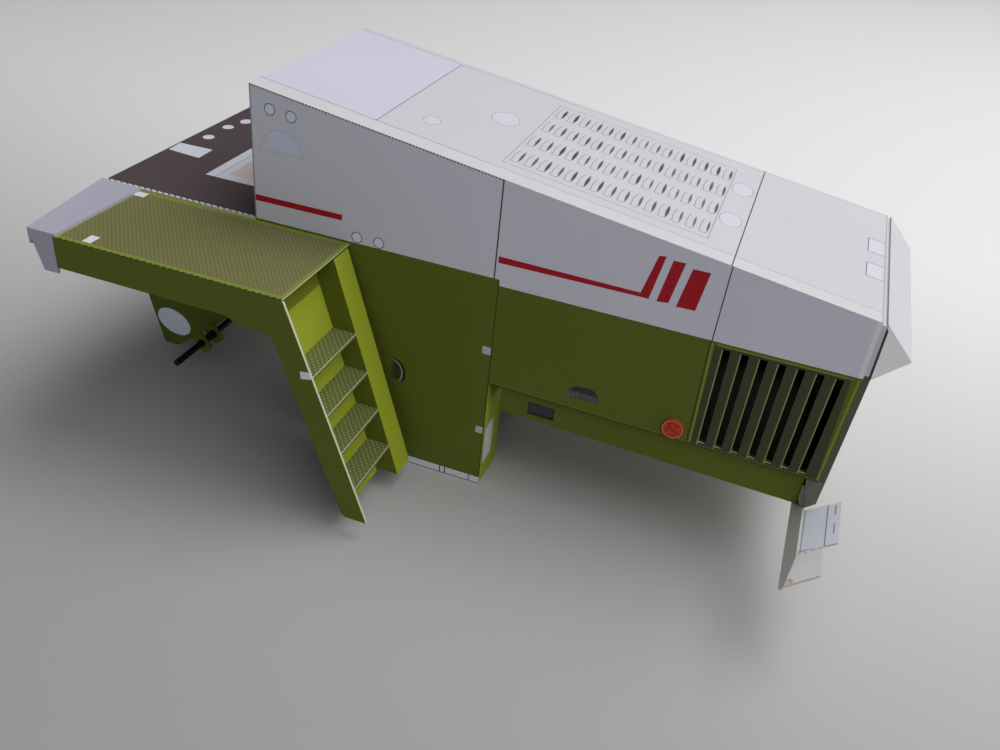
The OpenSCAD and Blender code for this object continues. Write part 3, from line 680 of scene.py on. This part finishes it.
def sheet_piece(name, corners, y, material, thick=0.25):
    """A thin upright sheet, its corners in side view (x, z) and its outer face at y."""
    sign = 1 if y > 0 else -1
    front = [(cx, y, cz) for cx, cz in corners]
    back = [(cx, y - sign * thick, cz) for cx, cz in corners]
    n = len(corners)
    faces = [tuple(range(n)), tuple(range(2 * n - 1, n - 1, -1))]
    faces += [(i, i + n, (i + 1) % n + n, (i + 1) % n) for i in range(n)]
    if sign > 0:
        faces = [f[::-1] for f in faces]
    mesh = bpy.data.meshes.new(name)
    mesh.from_pydata([ORIGIN + Vector(v) * MM for v in front + back], [], faces)
    mesh.materials.append(material)
    piece = bpy.data.objects.new(name, mesh)
    bpy.context.scene.collection.objects.link(piece)
    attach(piece, "model")


# Sheets that close what shows through the window, the apron's seam, the strip's ends and the bay's foot: dark
# sheets of painted shade behind the window, in the seam and across the bay's foot, and the strip's end folds in
# green darkened with painted shade
BAY_Y = 20.9
# Painted shade: dark card behind the window, grey in the seam, dark green at the strip's ends and the bay's foot
window_shade_card = plain("window_shade_card", (0.055, 0.056, 0.058), **SHADED)
seam_shade_card = plain("seam_shade_card", (0.15, 0.15, 0.145), **SHADED)
strip_shade_card = plain("strip_shade_card", (0.055, 0.066, 0.010), **SHADED)
foot_card = plain("foot_card", PANEL_FOOT, **SHADED)

# Name, distance of the outer face from the middle, material and corners (x, z) of the sheets on both sides
SIDE_SHEETS = [
    ("window_shade_", 20.95, window_shade_card, [(-62.2, -27.9), (-54.6, -27.7), (-54.6, -23.2), (-62.2, -23.4)]),
    ("seam_shade_", 21.9, seam_shade_card, [(-111.3, -0.9), (-110.42, -0.9), (-110.42, 8.5), (-111.3, 7.6)]),
    ("strip_end_", BAY_Y, strip_shade_card, [(-107.6, -27.95), (-103.4, -27.95), (-103.4, -22.6), (-107.9, -22.6)]),
    ("panel_tongue_", 21.9, foot_card,
     [(-107.85, -29.4), (-106.95, -29.4), (-106.5, -27.9), (-106.5, -25.0), (-107.85, -25.0)]),
]
for side, sign in (("left", 1), ("right", -1)):
    for name, y, material, corners in SIDE_SHEETS:
        sheet_piece(name + side, corners, sign * y, material)
sheet_piece("bay_foot_shade", [(-107.9, -27.95), (-105.9, -27.95), (-105.9, -27.6), (-107.8, -27.6)], BAY_Y, strip_shade_card,
            thick=2 * BAY_Y)

# Camera, fitted to the photograph's corners: focal length in pixels, turns in radians and place in millimetres
PHOTO_W = 1000
FOCAL = 953.233
TURN_X, TURN_Y, TURN_Z = 0.608124, 0.234537, 0.273208
EYE = Vector((-90.752, 162.208, 77.960))
SENSOR = 36

scene = bpy.context.scene
base = Matrix(((-1, 0, 0), (0, 0, -1), (0, -1, 0)))
turn = (Matrix.Rotation(TURN_Z, 3, "Z") @ Matrix.Rotation(TURN_Y, 3, "Y")
        @ Matrix.Rotation(TURN_X, 3, "X") @ base)
cam = bpy.data.cameras.new("camera")
cam.sensor_width = SENSOR
cam.lens = SENSOR * FOCAL / PHOTO_W
cam.clip_start, cam.clip_end = 0.01, 20
cam_object = bpy.data.objects.new("camera", cam)
scene.collection.objects.link(cam_object)
pose = Matrix((turn[0], -turn[1], -turn[2])).transposed().to_4x4()
pose.translation = ORIGIN + EYE * MM
cam_object.matrix_world = pose
scene.camera = cam_object

# Floor: one plain sheet, 8 m square, with painted light: its colour grows paler towards the window behind the model
FLOOR_HALF = 4
FLOOR_NEAR, FLOOR_FAR = (0.36, 0.36, 0.355, 1), (0.83, 0.83, 0.82, 1)
NEAR_Y, FAR_Y = 0.12, -0.16

floor_mesh = bpy.data.meshes.new("floor")
floor_mesh.from_pydata([(u * FLOOR_HALF, v * FLOOR_HALF, 0) for u, v in ((-1, -1), (1, -1), (1, 1), (-1, 1))],
                       [], [(0, 1, 2, 3)])
floor = bpy.data.objects.new("floor", floor_mesh)
scene.collection.objects.link(floor)
floor_mat = bpy.data.materials.new("pale_floor")
floor_mat.use_nodes = True
floor_nodes = floor_mat.node_tree.nodes
wire = floor_mat.node_tree.links.new
shade = floor_nodes["Principled BSDF"]
shade.inputs["Roughness"].default_value = 0.85
place = floor_nodes.new("ShaderNodeTexCoord")
split = floor_nodes.new("ShaderNodeSeparateXYZ")
span = floor_nodes.new("ShaderNodeMapRange")
span.interpolation_type = "SMOOTHSTEP"
span.inputs["From Min"].default_value = NEAR_Y
span.inputs["From Max"].default_value = FAR_Y
# Painted light: floor colour from dark near the camera to pale towards the window
painted_light_ramp = floor_nodes.new("ShaderNodeMix")
painted_light_ramp.data_type = "RGBA"
painted_light_ramp.inputs[6].default_value = FLOOR_NEAR
painted_light_ramp.inputs[7].default_value = FLOOR_FAR
wire(place.outputs["Object"], split.inputs[0])
wire(split.outputs[1], span.inputs["Value"])
wire(span.outputs[0], painted_light_ramp.inputs[0])
wire(painted_light_ramp.outputs[2], shade.inputs["Base Color"])
floor_mesh.materials.append(floor_mat)

# Soft light from above and behind, and a weak fill from the front
world = bpy.data.worlds.new("soft")
world.use_nodes = True
sky = world.node_tree.nodes["Background"]
sky.inputs["Color"].default_value = (0.88, 0.93, 1.0, 1)
sky.inputs["Strength"].default_value = 0.115
scene.world = world

# Name, direction from the model, distance and size in metres, energy in watts, colour
LAMPS = [
    ("key", (-0.35, -0.20, 0.90), 0.9, 0.6, 4.6, (1.0, 1.0, 1.0)),
    ("window_side", (-0.50, 0.40, 0.75), 0.9, 0.6, 2.0, (1.0, 1.0, 1.0)),
    ("window_far", (-0.30, -0.70, 0.65), 0.9, 0.6, 1.2, (0.97, 0.98, 1.0)),
    ("rear_low", (-0.85, 0.0, 0.50), 0.9, 0.6, 1.2, (1.0, 0.97, 0.93)),
    ("fill", (-0.15, 0.95, 0.30), 1.4, 1.2, 1.9, (0.90, 0.94, 1.0)),
]
for name, direction, distance, size, energy, colour in LAMPS:
    light = bpy.data.lights.new(name, "AREA")
    light.size = size
    light.energy = energy
    light.color = colour
    lamp = bpy.data.objects.new(name, light)
    direction = Vector(direction).normalized()
    lamp.location = direction * distance
    lamp.rotation_euler = direction.to_track_quat("Z", "Y").to_euler()
    scene.collection.objects.link(lamp)
scene.view_settings.view_transform = "Standard"
